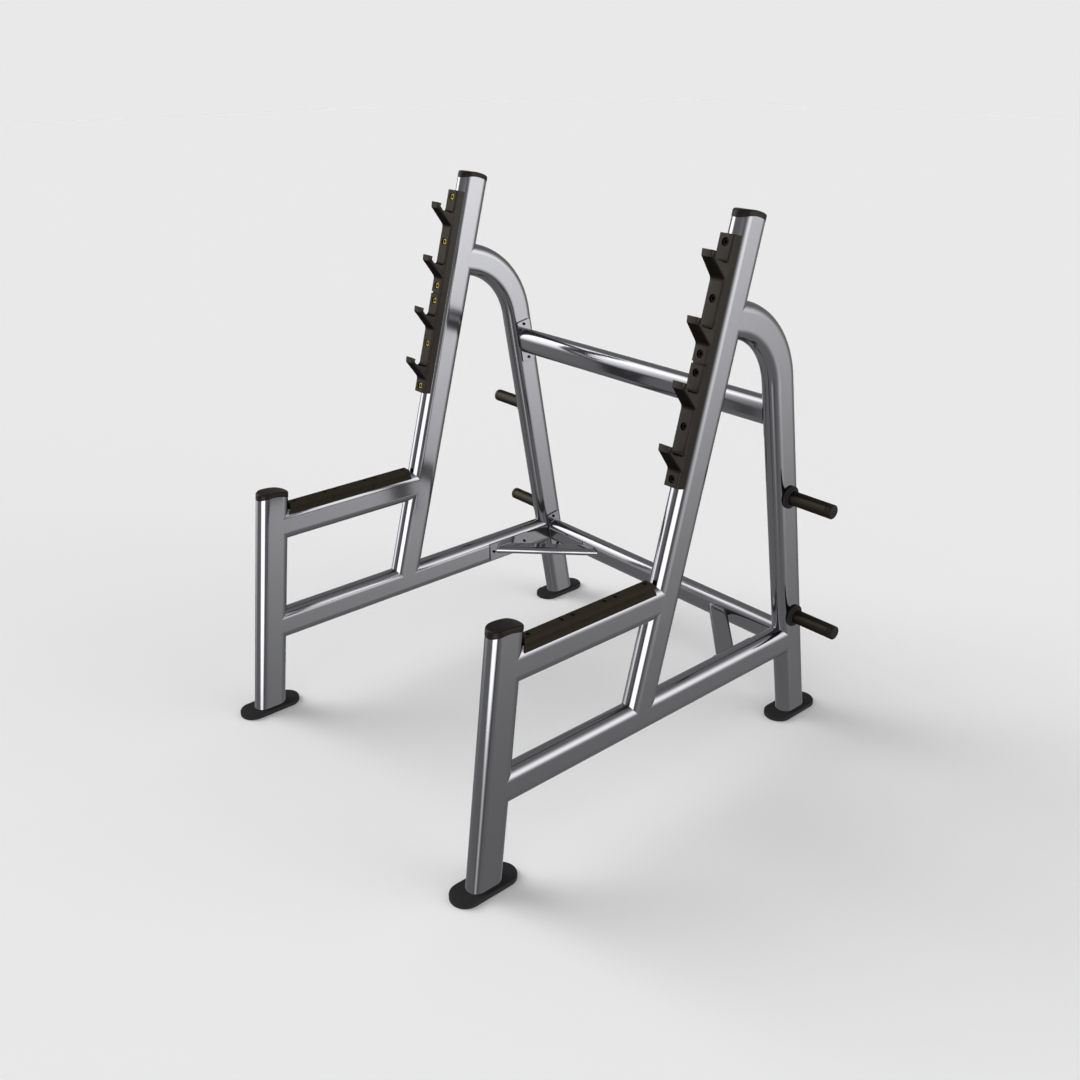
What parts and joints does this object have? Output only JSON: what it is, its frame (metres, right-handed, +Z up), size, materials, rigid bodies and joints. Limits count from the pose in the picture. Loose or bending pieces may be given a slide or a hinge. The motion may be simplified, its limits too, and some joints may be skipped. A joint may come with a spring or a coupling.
{
  "type": "squat stand",
  "caption": "Free-standing squat stand of flat-oval tube with leaning uprights, cast bar hooks, padded low safety rails and side pegs for weight plates.",
  "frame": {"origin": "on the floor, under the middle of the stand", "axes": "+X towards the right-hand side frame, +Y to the rear where the cross beams are, -Y is the open front where the lifter steps in, +Z up"},
  "size_m": [1.5626, 1.5556, 1.7181],
  "materials": {
    "frame_paint": "satin metallic grey powder coat",
    "hook_casting": "dark brown-grey, fine cast grain",
    "foot_rubber": "matte black",
    "pad_rubber": "matte black-brown",
    "collar_rubber": "matte black",
    "end_cap_plastic": "moulded, dull black",
    "peg_cap_plastic": "moulded, dull black",
    "peg_paint": "satin dark brown-black coat"
  },
  "bodies": {
    "root": {"left_front_foot": "foot_rubber", "left_rear_foot": "foot_rubber", "left_front_post": "frame_paint", "left_front_post_cap": "end_cap_plastic", "left_lower_rail": "frame_paint", "left_safety_rail": "frame_paint", "left_front_pad": "pad_rubber", "left_middle_pad": "pad_rubber", "left_rear_pad": "pad_rubber", "left_upright": "frame_paint", "left_upright_cap": "end_cap_plastic", "left_rear_leg": "frame_paint", "left_upper_hook_casting": "hook_casting", "left_lower_hook_casting": "hook_casting", "left_upper_peg": "peg_paint", "left_upper_peg_collar": "collar_rubber", "left_upper_peg_cap": "peg_cap_plastic", "left_lower_peg": "peg_paint", "left_lower_peg_collar": "collar_rubber", "left_lower_peg_cap": "peg_cap_plastic", "left_upper_flange": "frame_paint", "left_lower_flange": "frame_paint", "left_corner_brace": "frame_paint", "left_brace_plate": "frame_paint", "right_front_foot": "foot_rubber", "right_rear_foot": "foot_rubber", "right_front_post": "frame_paint", "right_front_post_cap": "end_cap_plastic", "right_lower_rail": "frame_paint", "right_safety_rail": "frame_paint", "right_front_pad": "pad_rubber", "right_middle_pad": "pad_rubber", "right_rear_pad": "pad_rubber", "right_upright": "frame_paint", "right_upright_cap": "end_cap_plastic", "right_rear_leg": "frame_paint", "right_upper_hook_casting": "hook_casting", "right_lower_hook_casting": "hook_casting", "right_upper_peg": "peg_paint", "right_upper_peg_collar": "collar_rubber", "right_upper_peg_cap": "peg_cap_plastic", "right_lower_peg": "peg_paint", "right_lower_peg_collar": "collar_rubber", "right_lower_peg_cap": "peg_cap_plastic", "right_upper_flange": "frame_paint", "right_lower_flange": "frame_paint", "right_corner_brace": "frame_paint", "right_brace_plate": "frame_paint", "upper_beam": "frame_paint", "lower_beam": "frame_paint"}
  },
  "joints": []
}
